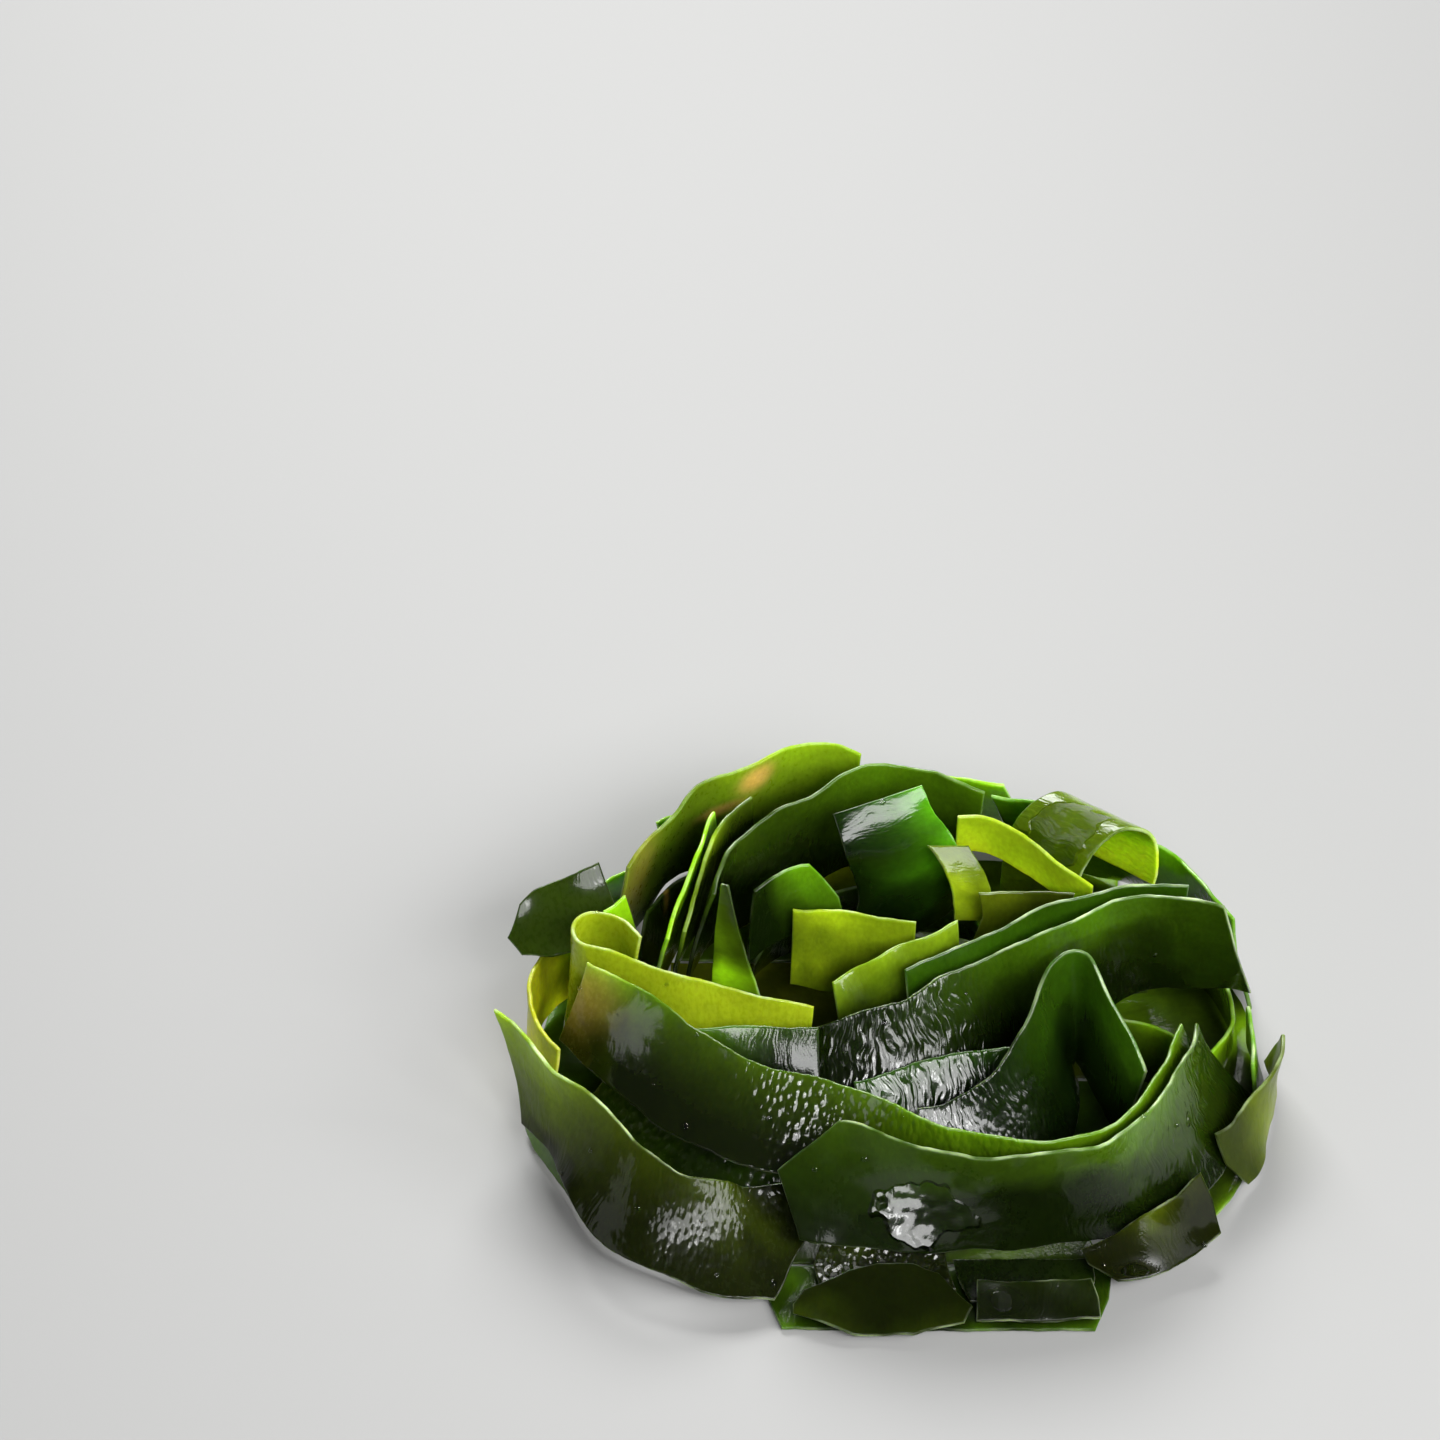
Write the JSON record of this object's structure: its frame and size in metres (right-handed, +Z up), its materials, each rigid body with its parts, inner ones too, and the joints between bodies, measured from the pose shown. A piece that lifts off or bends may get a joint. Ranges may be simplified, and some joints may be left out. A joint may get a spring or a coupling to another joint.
{
  "type": "soaked kelp strips",
  "caption": "Low nest of soaked kelp: long glossy cut blades of seaweed standing on edge, folded and wound through one another over flat strips, as a food ingredient or garnish.",
  "frame": {"origin": "middle of the footprint of the nest, on the surface it rests on", "axes": "+X to the right and +Z up as the picture shows the nest, with the front strips towards -Y; +X is the longest extent and +Z the shortest"},
  "size_m": [0.1574, 0.1416, 0.046],
  "materials": {
    "deep_green": "wet gloss, near-black green where the strips lie several deep",
    "leaf_green": "wet gloss, mid green",
    "yellow_green": "wet gloss, yellow-green where the strip is thin and the light comes through",
    "olive": "wet gloss, brownish olive"
  },
  "bodies": {
    "root": {"arch": "leaf_green", "back_outer": "olive", "back_skirt_left": "leaf_green", "back_skirt_right": "deep_green", "back_sweep": "leaf_green", "blister_slip": "deep_green", "bottom_leaf": "leaf_green", "bottom_strip": "deep_green", "centre_back": "deep_green", "centre_sweep": "deep_green", "fin": "leaf_green", "fin_inner": "yellow_green", "flap": "deep_green", "floor_back": "olive", "floor_far": "leaf_green", "floor_front": "deep_green", "floor_left": "deep_green", "floor_lip": "deep_green", "floor_near": "leaf_green", "floor_right": "leaf_green", "front_sweep": "leaf_green", "front_under": "deep_green", "hook": "yellow_green", "inner_back": "deep_green", "inner_band": "leaf_green", "inner_left": "leaf_green", "inner_right": "leaf_green", "left_back_low": "deep_green", "left_drop": "yellow_green", "left_leaf": "deep_green", "left_low": "leaf_green", "left_skirt": "leaf_green", "left_tuck": "leaf_green", "left_under": "deep_green", "light_frill": "yellow_green", "long_blister": "deep_green", "lower_blister": "deep_green", "olive_band": "olive", "outer_back": "yellow_green", "right_edge": "yellow_green", "right_front_leaf": "leaf_green", "right_low": "leaf_green", "right_outer": "deep_green", "roll": "yellow_green", "silver_band": "deep_green", "spike": "leaf_green", "tent": "deep_green", "tuck": "leaf_green", "under_slip": "olive", "yellow_fold": "yellow_green", "yellow_slip": "yellow_green"}
  },
  "joints": []
}
